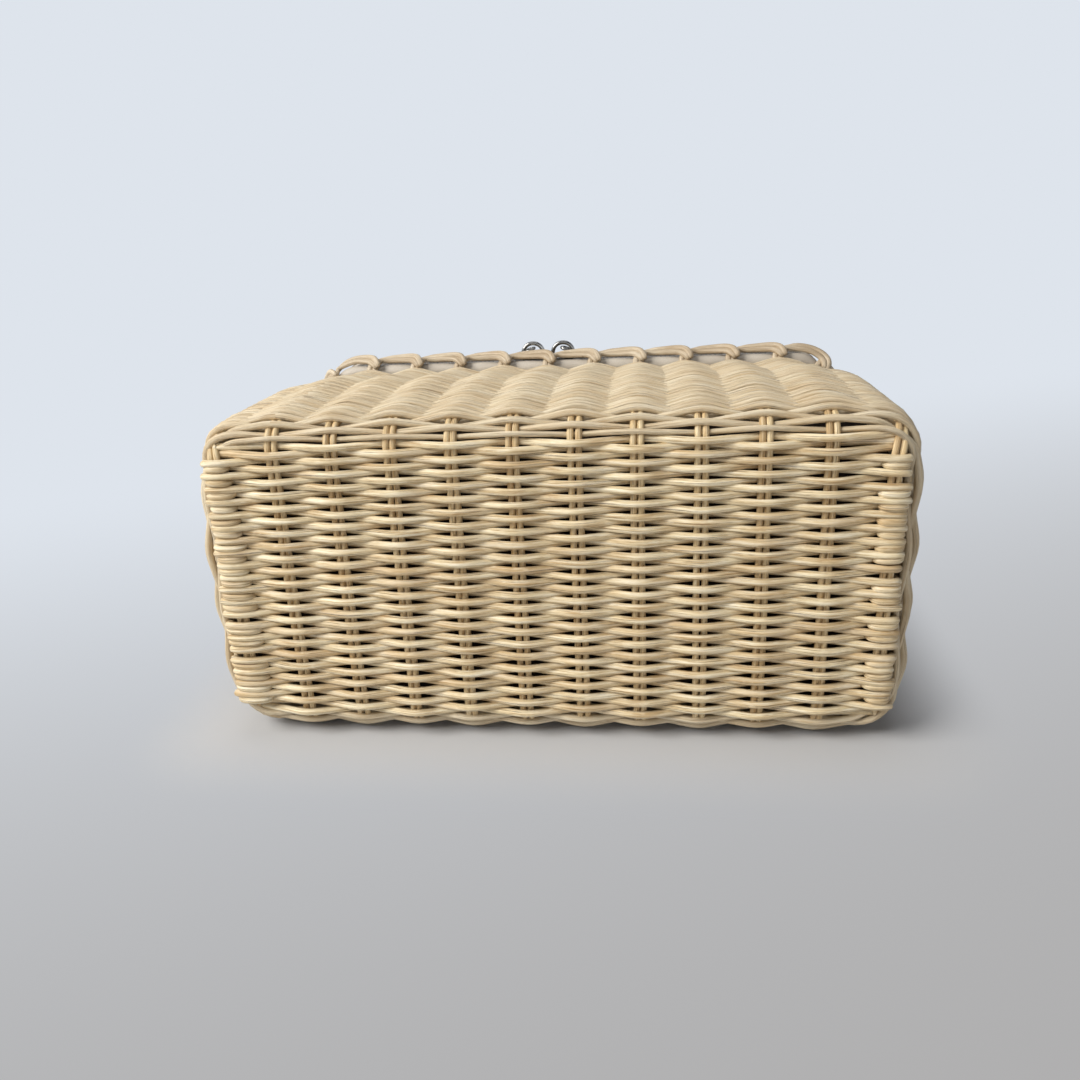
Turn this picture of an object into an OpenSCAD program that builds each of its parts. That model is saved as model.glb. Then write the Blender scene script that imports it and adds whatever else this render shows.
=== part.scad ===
/* [Bag] */
// Width across the upright stakes, left to right
bag_w = 241; // [210:1:290]
// Depth across the upright stakes, front to back
bag_d = 115; // [100:1:140]
// Height of the woven wall above the bottom
wall_h = 134; // [100:1:170]
// Radius of the upright corners at the stakes
corner_r = 16; // [13:0.5:19]
// Radius of the upright corners at the rim, where the basket is rounder
rim_r = 20; // [20:0.5:26]
// How far the wall draws in at the rim
draw_in = 7; // [5.5:0.5:7.5]
// Height over which the wall draws in
draw_h = 44; // [30:1:60]

/* [Weave] */
// Diameter of the weaver canes
cane_d = 2.9; // [2.4:0.1:3.4]
// Diameter of one stake cane, two of which lie side by side
stake_d = 2.2; // [1.8:0.1:2.6]
// Stake pairs along the front and along the back
front_stakes = 10; // [8:2:12]
// Stake pairs along each end
side_stakes = 4; // [4:2:6]
// Distance from the corner's plane to the first front stake pair
front_gap = 26.9; // [24:0.1:32]
// Distance from the corner's plane to the first side stake pair
side_gap = 24.5; // [22:0.1:28]
// Woven rows up the wall above the bottom's turn
wall_rows = 51; // [43:2:55]
// Woven ridges across the bottom
base_rows = 21; // [17:2:25]
// Every how many crossings the bottom is open beside a stake pair
gap_step = 4; // [4:1:6]

/* [Rim] */
// Radius of the leather roll that the rim's canes lace over
roll_r = 3; // [2.5:0.1:3.5]
// Thickness of a laced cane pair, out from the roll
lace_t = 2; // [1.6:0.1:2.2]
// Breadth of a laced cane pair
lace_w = 4; // [3.4:0.1:4.2]

/* [Leather] */
// Thickness of the leather
leather_t = 1.4; // [1:0.1:1.8]
// Thickness of the cloth lining
cloth_t = 1; // [0.8:0.1:1.4]
// Height of the lid's band above the zip
band_h = 4.2; // [3.6:0.1:5]
// Radius of the piping round the lid
piping_r = 1.5; // [1.2:0.1:1.8]

/* [Zip] */
// Thickness of the zip's tape
tape_t = 0.6; // [0.5:0.1:0.8]
// Height of one row of zip teeth
teeth_h = 1.7; // [1.5:0.1:2]
// Thickness of the rows of teeth
teeth_t = 2.2; // [2:0.1:2.4]
// Gap between the two rows, where the sliders' webs run
web_gap = 1.4; // [1.2:0.1:1.6]
// Breadth of a slider across the zip
slider_w = 10; // [9.6:0.1:10.6]
// Length of a slider along the zip
slider_l = 12; // [11:0.1:12.6]
// Distance between the two sliders' centres when shut
slider_gap = 13; // [12.9:0.1:14]
// Lean of a pull toward the zip at rest, in degrees
pull_lean = 18; // [14:1:18]
// How far left of the middle the two sliders meet
meet_x = 11.5; // [0:0.5:14]
// Height of a slider's bridge above its plate
bridge_h = 6.4; // [6:0.1:7]
// Length of a zip pull from its pin
pull_l = 14; // [13:0.5:14]

/* [Handle] */
// Length of the handle over its two feet
handle_l = 150; // [130:1:170]
// Breadth of the handle's strap
handle_w = 16; // [13:0.5:20]
// Thickness of the handle's strap
handle_t = 3; // [2.4:0.1:3.6]
// Height of the finger gap under the handle
handle_rise = 23; // [20:0.5:28]
// Radius of the bends in the handle
bend_r = 9; // [8:0.5:10]

/* [Hidden] */
$fn = 48;
gap = 0.3;
// Middle planes of the weave
hx = bag_w / 2;
hy = bag_d / 2;
over = stake_d / 2 + cane_d;
under = 0.7;
valley = 1.9;
front_pitch = (bag_w - 2 * front_gap) / (front_stakes - 1);
side_pitch = (bag_d - 2 * side_gap) / (side_stakes - 1);
ring_n = 2 * front_stakes + 2 * side_stakes + 4;
base_t = 2 * cane_d + stake_d - 1.5;
wall_in = over;
// The wall turns up from the bottom by an arc of the stakes; its first rows climb at the two ends
stake_z = cane_d + stake_d / 2;
turn_r = 8.5;
turn_l = turn_r * PI / 2;
first_u = turn_r * 1.1;
row_h = (wall_h - 2 - stake_z - turn_r + turn_l - first_u) / (wall_rows - 1);
end_lift = 5;
lift_rows = 10;
// Rim roll, collar and zip planes, measured in from the stakes
roll_in = draw_in - 0.7;
roll_z = wall_h + 5.6;
lace_r1 = roll_r + 0.15 + lace_t / 2;
lace_r2 = lace_r1 + lace_t + 0.15;
half_z = hy + over;
collar_in = roll_in - roll_r - 0.2;
collar_z0 = roll_z + roll_r * 0.6 + 1.3;
zip_in = collar_in + leather_t + 0.1 + tape_t / 2;
collar_z1 = roll_z + lace_r1 + 0.9;
zip_z = collar_z1 + gap + slider_w / 2;
band_z0 = zip_z + slider_w / 2 + gap;
band_z1 = band_z0 + band_h;
panel_z1 = band_z1 + leather_t + 0.2;
lid_top = panel_z1;
zip_end = hy - rim_r - 4;
stop_l = 2.4;
plate_in = teeth_t / 2 + 0.35;
plate_t = 1.2;
bridge_w = 3.2;
bridge_r = 5;
pin_x = -0.6;
pin_r = 0.8;
pin_y = plate_in + plate_t + bridge_h - 1.5 - gap - pin_r;
handle_z = lid_top + handle_rise + handle_t;

// The bag is drawn standing and then laid on its back
module lay() translate([0, -handle_z / 2, half_z]) rotate([-90, 0, 0]) children();

// Point and outward direction on the stakes' closed path at length s from the front's middle
fx = hx - corner_r;
fy = hy - corner_r;
arc = corner_r * PI / 2;
loop = 4 * fx + 4 * fy + 4 * arc;
function turn(s, cx, cy, a0) = let(a = a0 + s / corner_r * 180 / PI)
    [cx + corner_r * cos(a), cy + corner_r * sin(a), cos(a), sin(a)];
function on_path(t) = let(s = (t + loop) % loop)
    s < fx ? [s, -hy, 0, -1] :
    s < fx + arc ? turn(s - fx, fx, -fy, -90) :
    s < fx + arc + 2 * fy ? [hx, s - fx - arc - fy, 1, 0] :
    s < fx + 2 * arc + 2 * fy ? turn(s - fx - arc - 2 * fy, fx, fy, 0) :
    s < 3 * fx + 2 * arc + 2 * fy ? [2 * fx + 2 * arc + 2 * fy - s, hy, 0, 1] :
    s < 3 * fx + 3 * arc + 2 * fy ? turn(s - 3 * fx - 2 * arc - 2 * fy, -fx, fy, 90) :
    s < 3 * fx + 3 * arc + 4 * fy ? [-hx, 3 * fx + 3 * arc + 3 * fy - s, -1, 0] :
    s < 3 * fx + 4 * arc + 4 * fy ? turn(s - 3 * fx - 3 * arc - 4 * fy, -fx, -fy, 180) :
    [s - loop, -hy, 0, -1];

// Length along the path of each stake pair: front, corner, right, corner, back, corner, left, corner
side_s = fx + arc + fy;
function half_s(i) = i < front_stakes ? (i - (front_stakes - 1) / 2) * front_pitch :
    i == front_stakes ? fx + arc / 2 :
    i <= front_stakes + side_stakes ? side_s + (i - front_stakes - 1 - (side_stakes - 1) / 2) * side_pitch :
    2 * side_s - fx - arc / 2;
half_n = ring_n / 2;
function stake_s(i) = half_s(i % half_n) + floor(i / half_n) * loop / 2;
function path_at(s, out, z) = let(p = on_path(s)) [p[0] + out * p[2], p[1] + out * p[3], z];

// How far the wall stands in: drawn in toward the rim, and more at the corners, which are rounder there
function ease(t) = t * t * (3 - 2 * t);
function drawn(z) = draw_in * ease(max(0, z - wall_h + draw_h) / draw_h);
function rounder(s) = let(p = on_path(s), d = rim_r - corner_r, k = d * (abs(p[2]) + abs(p[3])),
    f = abs(p[2]) < 0.001 ? abs(p[0]) - hx + rim_r : abs(p[1]) - hy + rim_r)
    abs(p[2] * p[3]) > 0.001 ? corner_r + k - sqrt(k * k + rim_r * rim_r - 2 * d * d) :
    rim_r - sqrt(rim_r * rim_r - pow(max(0, f), 2));
function wall_inset(s, z) = drawn(z) + rounder(s) * ease((z - base_t) / (wall_h - base_t));
// Place on the wall at length s round it and u up it, h out from the stakes' middle
function wall_pt(s, u, h) = let(a = min(u / turn_r * 180 / PI, 90),
    z = stake_z + turn_r * (1 - cos(a)) + max(0, u - turn_l))
    path_at(s, h * sin(a) - turn_r * (1 - sin(a)) - wall_inset(s, max(z, base_t)), z - h * cos(a));

// Columns of the wall: each stake pair and each place midway between two
cols = 2 * ring_n;
function col_s(c) = c % 2 == 0 ? stake_s(c / 2) : (stake_s((c - 1) / 2) + stake_s((c + 1) / 2)) / 2;
function row_u(s, r) = first_u + r * row_h + end_lift * pow(on_path(s)[2], 2) * max(0, 1 - r / lift_rows);
function wall_ring(r) = [for (c = [0:cols - 1]) let(s = col_s(c))
    wall_pt(s, row_u(s, r), c % 2 == 1 ? valley : (c / 2 + r) % 2 == 0 ? over : under)];
foot_in = 1.3;
function flat_ring(out, z) = [for (c = [0:cols - 1]) let(s = col_s(c)) path_at(s, out - wall_inset(s, z), z)];
in_z = [wall_h, wall_h - draw_h * 0.35, wall_h - draw_h * 0.7, base_t];

// One closed shell with ridges that swap at each stake pair and row
module woven_wall() color("burlywood") lay() {
    rings = concat([flat_ring(-foot_in, base_t)], [for (r = [0:wall_rows - 1]) wall_ring(r)],
        [flat_ring(under, wall_h)], [for (z = in_z) flat_ring(-wall_in, z)]);
    n = len(rings);
    pts = [for (r = rings) each r];
    faces = [for (r = [0:n - 1]) for (c = [0:cols - 1])
        let(a = r * cols + c, b = r * cols + (c + 1) % cols,
            q = ((r + 1) % n) * cols + (c + 1) % cols, p = ((r + 1) % n) * cols + c)
        each [[a, p, q], [a, q, b]]];
    polyhedron(pts, faces);
}

// Columns of the bottom: left of, on and right of each stake pair, and midway between two
base_stakes = front_stakes + 2;
bx = hx - 3;
by = hy - 3;
end_x = bx - stake_d - 1.6;
foot_w = stake_d + 1.9;
function base_stake(k) = k == 0 ? -end_x : k == base_stakes - 1 ? end_x :
    (k - 1 - (front_stakes - 1) / 2) * front_pitch;
bcols = 4 * base_stakes - 1;
function bcol_x(c) = let(k = floor(c / 4), j = c % 4)
    c == 0 ? -bx : c == bcols - 1 ? bx :
    j < 3 ? base_stake(k) + (j - 1) * foot_w : (base_stake(k) + base_stake(k + 1)) / 2;
function brow_y(r) = -by + 2 * by * r / (base_rows - 1);
lift_r = 6;
function edge_lift(y) = let(e = max(0, abs(y) - by + lift_r - 1)) lift_r - sqrt(lift_r * lift_r - e * e);
function base_z(c, r) = let(k = floor(c / 4), j = c % 4, up = (k + r) % 2 == 0)
    min(base_t - 1.2, edge_lift(brow_y(r)) * 0.6 + (j == 3 ? cane_d * 0.7 :
        up ? (j == 1 ? 0 : 0.3) : (j == 1 ? cane_d : cane_d + stake_d * 0.45)));
function base_pt(c, r, top) = [bcol_x(c), brow_y(r), top ? base_t : base_z(c, r)];

// Gaps lie on both sides of the inner stake pairs where a weaver passes behind
function is_gap(c, r) = let(k = floor(c / 4), j = c % 4)
    k > 0 && k < base_stakes - 1 && (j == 0 || j == 2) && (k + r) % 2 == 1
    && r > 1 && r < base_rows - 2 && (floor(r / 2) + k) % gap_step == 0;
gaps = [for (c = [0:bcols - 1]) for (r = [0:base_rows - 1]) if (is_gap(c, r)) c * 100 + r];
function mix(a, b, f) = a + (b - a) * f;
// A gap's four corners: toward the next column, the next row, the last column and the last row
function gap_pt(c, r, d, top) = mix(base_pt(c, r, top),
    d == 0 ? base_pt(c + 1, r, top) : d == 1 ? base_pt(c, r + 1, top) :
    d == 2 ? base_pt(c - 1, r, top) : base_pt(c, r - 1, top),
    d % 2 == 1 ? 0.44 : (c % 4 == 2) == (d == 0) ? 0.5 : 0.3);
bgrid = bcols * base_rows;
function b_id(c, r, top) = (top ? bgrid : 0) + c * base_rows + r;
function g_id(c, r, d, top) = 2 * bgrid + search(c * 100 + r, gaps)[0] * 8 + (top ? 4 : 0) + d;
// A cell's corner, or the two points that a gap leaves of it
function corner(c, r, d1, d2, top) = is_gap(c, r) ? [g_id(c, r, d1, top), g_id(c, r, d2, top)] : [b_id(c, r, top)];
function cell(c, r, top) = concat(corner(c, r, 1, 0, top), corner(c + 1, r, 2, 1, top),
    corner(c + 1, r + 1, 3, 2, top), corner(c, r + 1, 0, 3, top));
function flip(f, on) = on ? f : [f[0], f[2], f[1]];
function fan(p, on) = [for (i = [1:len(p) - 2]) flip([p[0], p[i], p[i + 1]], on)];
function strip(a, b) = [for (i = [0:len(a) - 2]) each [[a[i], a[i + 1], b[i + 1]], [a[i], b[i + 1], b[i]]]];

// One plate with ridges over the stake pairs and open gaps beside them
module woven_base() color("tan") lay() {
    pts = concat(
        [for (t = [false, true]) for (c = [0:bcols - 1]) for (r = [0:base_rows - 1]) base_pt(c, r, t)],
        [for (g = gaps) for (t = [false, true]) for (d = [0:3]) gap_pt(floor(g / 100), g % 100, d, t)]);
    skin = [for (t = [false, true]) for (c = [0:bcols - 2]) for (r = [0:base_rows - 2]) each fan(cell(c, r, t), t == false)];
    tube = [for (i = [0:len(gaps) - 1]) for (d = [0:3]) let(o = 2 * bgrid + i * 8, e = (d + 1) % 4)
        each [[o + d, o + e, o + 4 + e], [o + d, o + 4 + e, o + 4 + d]]];
    cs = [for (c = [0:bcols - 1]) c];
    rs = [for (r = [0:base_rows - 1]) r];
    last = base_rows - 1;
    rim = concat(
        strip([for (c = cs) b_id(c, 0, true)], [for (c = cs) b_id(c, 0, false)]),
        strip([for (c = cs) b_id(c, last, false)], [for (c = cs) b_id(c, last, true)]),
        strip([for (r = rs) b_id(0, r, false)], [for (r = rs) b_id(0, r, true)]),
        strip([for (r = rs) b_id(bcols - 1, r, true)], [for (r = rs) b_id(bcols - 1, r, false)]));
    polyhedron(pts, concat(skin, tube, rim));
}

// Plan of the rim drawn in by d from the stakes
module plan(d) {
    r = max(2, rim_r - d);
    square([2 * (hx - d - r), 2 * (hy - d)], center = true);
    square([2 * (hx - d), 2 * (hy - d - r)], center = true);
    for (x = [-1, 1], y = [-1, 1]) translate([x * (hx - d - r), y * (hy - d - r)]) circle(r);
}
module wall_strip(d, t, z0, z1) translate([0, 0, z0]) linear_extrude(z1 - z0) difference() {
    plan(d);
    plan(d + t);
}
// The run of the zip: front and both ends, as far back as the hinge
module zip_run() translate([-bag_w, -bag_d, 0]) cube([2 * bag_w, bag_d + zip_end, 2 * handle_z]);
module back_run() translate([-bag_w, zip_end + stop_l + 2 * gap, 0]) cube([2 * bag_w, bag_d, 2 * handle_z]);

// Cloth bag sewn inside the weave
lining_in = wall_in + draw_in + 3 * gap;
module lining() color("sienna") lay() difference() {
    translate([0, 0, base_t + gap]) linear_extrude(collar_z0 - gap - base_t) plan(lining_in);
    translate([0, 0, base_t + gap + cloth_t]) linear_extrude(wall_h) plan(lining_in + cloth_t);
}

// Round tube that follows the plan, drawn in by d
module plan_tube(d, r, z) {
    c = max(2, rim_r - d);
    for (s = [-1, 1]) {
        translate([-(hx - d - c), s * (hy - d), z]) rotate([0, 90, 0]) cylinder(r = r, h = 2 * (hx - d - c));
        translate([s * (hx - d), -(hy - d - c), z]) rotate([-90, 0, 0]) cylinder(r = r, h = 2 * (hy - d - c));
    }
    for (i = [0:3]) {
        x = (i == 0 || i == 3) ? 1 : -1;
        y = i < 2 ? 1 : -1;
        translate([x * (hx - d - c), y * (hy - d - c), z]) rotate(90 * i) rotate_extrude(angle = 90)
            translate([c, 0]) circle(r);
    }
}
module rim_roll() color("darkgray") lay() plan_tube(roll_in, roll_r, roll_z);

// Rim canes: each pair climbs over the roll, runs in front of the next pair and hooks down
lace_turn = [-105, -52, -4, 22, 15, -5, -34, -60];
lace_len = [0, 0, 0.05, 0.18, 0.56, 0.9, 1.05, 1.12];
lace_out = [0.17, 0, 0, 0.75, 0.9, 1, 1, 0.8];
lace_n = len(lace_turn) - 1;
sides = 5;
function lace_span(k) = let(d = stake_s(k + 1) - stake_s(k)) d > 0 ? d : d + loop;
function lace_c(k, i) = let(r = mix(lace_r1, lace_r2, lace_out[i]), a = lace_turn[i])
    let(s = stake_s(k) + lace_span(k) * lace_len[i])
    path_at(s, r * cos(a) - roll_in - rounder(s), roll_z + r * sin(a));
function unit(v) = v / norm(v);
function lace_ring(k, i) = let(
    t = unit(lace_c(k, min(i + 1, lace_n)) - lace_c(k, max(i - 1, 0))),
    p = on_path(stake_s(k) + lace_span(k) * lace_len[i]),
    a = lace_turn[i],
    o = unit([p[2] * cos(a), p[3] * cos(a), sin(a)]),
    e = unit(cross(t, o)),
    u = cross(e, t),
    w = i == lace_n ? 0.75 : 1)
    [for (j = [0:sides - 1]) lace_c(k, i) + e * cos(360 / sides * j) * lace_w / 2 * w + u * sin(360 / sides * j) * lace_t / 2 * w];
module lace(k) {
    pts = [for (i = [0:lace_n]) each lace_ring(k, i)];
    side = [for (i = [0:lace_n - 1]) for (j = [0:sides - 1]) let(a = i * sides + j, b = i * sides + (j + 1) % sides)
        each [[a, b, b + sides], [a, b + sides, a + sides]]];
    ends = concat(fan([for (j = [0:sides - 1]) j], false), fan([for (j = [0:sides - 1]) lace_n * sides + j], true));
    polyhedron(pts, concat(side, ends));
}
module rim_border() color("wheat") lay() for (k = [0:ring_n - 1]) lace(k);

// Leather collar on the roll, taller along the back where it meets the lid
module zip_collar() color("gray") lay() {
    wall_strip(collar_in, leather_t, collar_z0, collar_z1);
    intersection() {
        wall_strip(collar_in, leather_t, collar_z1 - 0.5, zip_z - gap / 2);
        back_run();
    }
}

// Zip tapes and teeth, one half on the basket and one on the lid
module zip_strip(t, z0, z1) intersection() {
    wall_strip(zip_in - t / 2, t, z0, z1);
    zip_run();
}
tooth_z = zip_z - web_gap / 2 - teeth_h;
module lower_tape() color("dimgray") lay() zip_strip(tape_t, collar_z0, tooth_z);
module lower_teeth() color("silver") lay() zip_strip(teeth_t, tooth_z, zip_z - web_gap / 2);
module upper_tape() color("dimgray") lay() zip_strip(tape_t, 2 * zip_z - tooth_z, band_z1 - 1);
module upper_teeth() color("silver") lay() zip_strip(teeth_t, zip_z + web_gap / 2, 2 * zip_z - tooth_z);
module zip_stops() color("silver") lay() for (s = [-1, 1])
    translate([s * (hx - zip_in) - 1.3, zip_end + 0.1, tooth_z - 0.6]) cube([2.6, stop_l, teeth_h]);

// Lid: band above the zip, taller along the back, flat panel and piping
module lid_band() color("gray") lay() {
    wall_strip(collar_in, leather_t, band_z0, band_z1);
    intersection() {
        wall_strip(collar_in, leather_t, zip_z + gap / 2, band_z0 + 0.5);
        back_run();
    }
}
module lid_panel() color("lightgray") lay() translate([0, 0, band_z1]) linear_extrude(panel_z1 - band_z1)
    plan(collar_in + piping_r);
module lid_piping() color("gray") lay() difference() {
    plan_tube(collar_in + piping_r, piping_r, band_z1 + piping_r);
    translate([0, 0, band_z1 - 1]) linear_extrude(panel_z1 - band_z1 + 1.02) plan(collar_in + piping_r - 0.02);
}

// Handle: a strap that rises from two riveted feet and lies level between them
foot_l = handle_l * 0.16;
rise_a = 40;
bend_steps = 8;
foot_x = handle_l / 2 - foot_l;
low_r = bend_r + handle_t;
rise_run = (handle_rise - (bend_r + low_r) * (1 - cos(rise_a))) / sin(rise_a);
top_c = [(low_r + bend_r) * sin(rise_a) + rise_run * cos(rise_a), handle_rise - bend_r];
// One face of the strap's right half, t up in its thickness: foot, lower bend, upper bend
function strap_side(t) = concat([[-foot_l, t]],
    [for (i = [0:bend_steps]) let(a = rise_a * i / bend_steps)
        [(low_r - t) * sin(a), low_r - (low_r - t) * cos(a)]],
    [for (i = [bend_steps:-1:0]) let(a = rise_a * i / bend_steps)
        top_c + (bend_r + t) * [-sin(a), cos(a)]]);
function both_halves(f) = concat([for (p = f) [foot_x - p[0], p[1]]],
    [for (i = [len(f) - 1:-1:0]) [f[i][0] - foot_x, f[i][1]]]);
function backward(f) = [for (i = [len(f) - 1:-1:0]) f[i]];
module handle_strap() color("gray") lay() translate([0, handle_w / 2, lid_top]) rotate([90, 0, 0])
    linear_extrude(handle_w)
        polygon(concat(both_halves(strap_side(0)), backward(both_halves(strap_side(handle_t)))));
rivet_x = [handle_l / 2 - foot_l * 0.25, handle_l / 2 - foot_l * 0.7];
washer_r = handle_w * 0.2;
module at_rivets() for (s = [-1, 1], x = rivet_x) translate([s * x, 0, lid_top + handle_t]) children();
module handle_washers() color("silver") lay() at_rivets() cylinder(r = washer_r, h = 0.5);
module handle_rivets() color("silver") lay() at_rivets() translate([0, 0, 0.5]) intersection() {
    translate([0, 0, 1 - washer_r]) sphere(washer_r + 0.2);
    cylinder(r = washer_r * 0.78, h = 3);
}

// Sliders: two plates with a thin web between the rows of teeth, and a bridge for the pull
module bridge_outline(d) {
    translate([pin_x, bridge_h - bridge_r]) circle(bridge_r - d);
    translate([pin_x - bridge_r + d, -1]) square([2 * (bridge_r - d), bridge_h - bridge_r + 1]);
}
module slider() {
    zip_y = plate_in + plate_t;
    for (s = [plate_in, -plate_in - plate_t]) translate([-slider_l / 2, s, -slider_w / 2])
        cube([slider_l, plate_t, slider_w]);
    translate([1.5, -plate_in - 0.1, -0.4]) cube([slider_l / 2 - 1.6, 2 * plate_in + 0.2, 0.8]);
    translate([0, zip_y - 0.05, -bridge_w / 2]) linear_extrude(bridge_w) intersection() {
        difference() {
            bridge_outline(0);
            bridge_outline(1.5);
        }
        translate([-10, 0]) square([20, 20]);
    }
}
// The pull's eye: two arms beside the bridge, a pin through it and a flat tab
module pull() {
    arm = bridge_w / 2 + gap;
    translate([pin_x, pin_y, -arm - 0.6]) cylinder(r = pin_r, h = 2 * arm + 1.2);
    for (s = [-arm - 1.2, arm]) translate([pin_x - 6, pin_y - pin_r, s]) cube([6.8, 2 * pin_r, 1.2]);
    translate([pin_x - pull_l, pin_y - 0.7, 0]) difference() {
        union() {
            translate([3, 0, -3]) cube([pull_l - 9, 1.4, 6]);
            translate([3, 1.4, 0]) rotate([90, 0, 0]) cylinder(r = 3, h = 1.4);
        }
        translate([3, 2, 0]) rotate([90, 0, 0]) cylinder(r = 1.5, h = 3);
    }
}
// Places a slider's own piece on the front's zip: side -1 is the left one
module on_zip(side) translate([-meet_x + side * slider_gap / 2, -(hy - zip_in), zip_z])
    mirror([side > 0 ? 1 : 0, 0, 0]) mirror([0, 1, 0]) children();
module left_slider() color("silver") lay() on_zip(-1) slider();
module right_slider() color("silver") lay() on_zip(1) slider();
module lean() translate([pin_x, pin_y, 0]) rotate(pull_lean) translate([-pin_x, -pin_y, 0]) children();
module left_pull() color("gainsboro") lay() on_zip(-1) lean() pull();
module right_pull() color("gainsboro") lay() on_zip(1) lean() pull();

woven_base();
woven_wall();
lining();
rim_roll();
rim_border();
zip_collar();
lower_tape();
lower_teeth();
zip_stops();
lid_panel();
lid_band();
lid_piping();
upper_tape();
upper_teeth();
handle_strap();
handle_washers();
handle_rivets();
left_slider();
right_slider();
left_pull();
right_pull();
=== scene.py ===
import math
import bpy
import numpy as np
from mathutils import Matrix


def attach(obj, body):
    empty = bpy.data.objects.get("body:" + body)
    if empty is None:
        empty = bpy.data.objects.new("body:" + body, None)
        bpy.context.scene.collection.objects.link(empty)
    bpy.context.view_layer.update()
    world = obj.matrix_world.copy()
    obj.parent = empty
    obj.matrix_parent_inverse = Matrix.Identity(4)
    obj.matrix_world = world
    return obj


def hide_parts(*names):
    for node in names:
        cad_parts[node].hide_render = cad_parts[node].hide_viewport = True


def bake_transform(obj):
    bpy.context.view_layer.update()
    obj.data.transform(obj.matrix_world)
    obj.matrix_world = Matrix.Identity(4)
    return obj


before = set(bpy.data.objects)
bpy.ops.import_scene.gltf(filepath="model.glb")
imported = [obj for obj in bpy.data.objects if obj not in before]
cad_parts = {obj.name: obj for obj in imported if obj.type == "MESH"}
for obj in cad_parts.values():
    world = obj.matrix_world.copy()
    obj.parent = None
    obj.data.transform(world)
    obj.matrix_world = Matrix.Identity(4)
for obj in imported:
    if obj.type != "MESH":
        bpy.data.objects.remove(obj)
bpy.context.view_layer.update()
rng = np.random.default_rng(11)
pi = np.pi

# The bag is worked out standing, in millimetres, front toward -y, and laid on its back at the end
bag = {"halfX": 120.5, "halfY": 57.5, "cornerR": 16.0, "rimR": 20.0, "wallTop": 134.0,
       "drawIn": 7.0, "drawH": 66.0, "baseT": 6.5, "turnR": 8.5, "stakeZ": 4.0,
       "midZ": 93.525, "midY": 61.5, "caneR": 1.45, "stakeR": 1.1}
flatX = bag["halfX"] - bag["cornerR"]
flatY = bag["halfY"] - bag["cornerR"]
cornerArc = bag["cornerR"] * pi / 2
loopLen = 4 * (flatX + flatY + cornerArc)
frontPitch, sidePitch = 20.8, 22.0


def lay(p):
    # x stays, height runs away from the camera, front turns up; millimetres become metres
    return np.stack([p[..., 0], p[..., 2] - bag["midZ"], bag["midY"] - p[..., 1]], -1) / 1000


def onPath(s):
    # rounded rectangle by length s from the front's middle, folded twice into one quarter:
    # straight, then an arc, then straight; gives the point and its outward direction
    t = np.mod(s, loopLen)
    left = t > loopLen / 2
    t = np.where(left, loopLen - t, t)
    back = t > loopLen / 4
    t = np.where(back, loopLen / 2 - t, t)
    a = np.clip((t - flatX) / bag["cornerR"], 0, pi / 2)
    x = np.minimum(t, flatX) + bag["cornerR"] * np.sin(a)
    y = -flatY - bag["cornerR"] * np.cos(a) + np.maximum(0, t - flatX - cornerArc)
    sx, sy = np.where(left, -1, 1), np.where(back, -1, 1)
    return np.stack([x * sx, y * sy], -1), np.stack([np.sin(a) * sx, -np.cos(a) * sy], -1)


def unit(v):
    return v / np.maximum(np.linalg.norm(v, axis=-1, keepdims=True), 1e-12)


def smooth(t):
    t = np.clip(t, 0, 1)
    return t * t * (3 - 2 * t)


def drawn(z):
    # the wall draws in toward the rim by a smooth step of the height
    return bag["drawIn"] * smooth((z - bag["wallTop"] + bag["drawH"]) / bag["drawH"])


def rounder(s, z):
    # the corner's circle grows from cornerR at the bottom to rimR at the rim:
    # the distance between the two circles, by a smooth step of the height
    p, n = onPath(s)
    wide = bag["rimR"] - bag["cornerR"]
    k = wide * np.abs(n).sum(-1)
    arc = bag["cornerR"] + k - np.sqrt(k * k + bag["rimR"] ** 2 - 2 * wide ** 2)
    overX = np.abs(p[..., 0]) - bag["halfX"]
    overY = np.abs(p[..., 1]) - bag["halfY"]
    past = np.where(np.abs(n[..., 0]) < 1e-6, overX, overY) + bag["rimR"]
    straight = bag["rimR"] - np.sqrt(bag["rimR"] ** 2 - np.clip(past, 0, wide) ** 2)
    grown = smooth((z - bag["baseT"]) / (bag["wallTop"] - bag["baseT"]))
    return np.where(np.abs(n).min(-1) > 1e-6, arc, straight) * grown


# Bellied ends: reach of each, and the lengths over which it comes and goes
belly = {"left": 3.6, "right": 1.8, "fromY": -50.0, "overY": 40.0, "round": 0.35,
         "fromZ": 1.0, "riseZ": 9.0, "fallFrom": 30.0, "fallZ": 80.0}


def swell(s, z):
    # the ends stand out just above the bottom, the left one more: a product of smooth steps
    p, n = onPath(s)
    left = belly["left"] * smooth((p[..., 1] - belly["fromY"]) / belly["overY"])
    reach = np.where(n[..., 0] < 0, left, belly["right"])
    reach = reach * (1 - belly["round"] * (p[..., 1] / bag["halfY"]) ** 2)
    rise = smooth((z - belly["fromZ"]) / belly["riseZ"])
    fall = 1 - smooth((z - belly["fallFrom"]) / belly["fallZ"])
    return reach * smooth(2 * n[..., 0] ** 2 - 1) * rise * fall


def around(s, out, z):
    # point at length s round the bag, out from the stakes, at height z
    s, out, z = np.broadcast_arrays(s, out, z)
    p, n = onPath(s)
    return np.concatenate([p + n * (out - rounder(s, z) + swell(s, z))[..., None], z[..., None]], -1)


def levelOut(s):
    # the outward direction at length s, with no height
    n = onPath(s)[1]
    return np.concatenate([n, 0 * n[..., :1]], -1)


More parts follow.
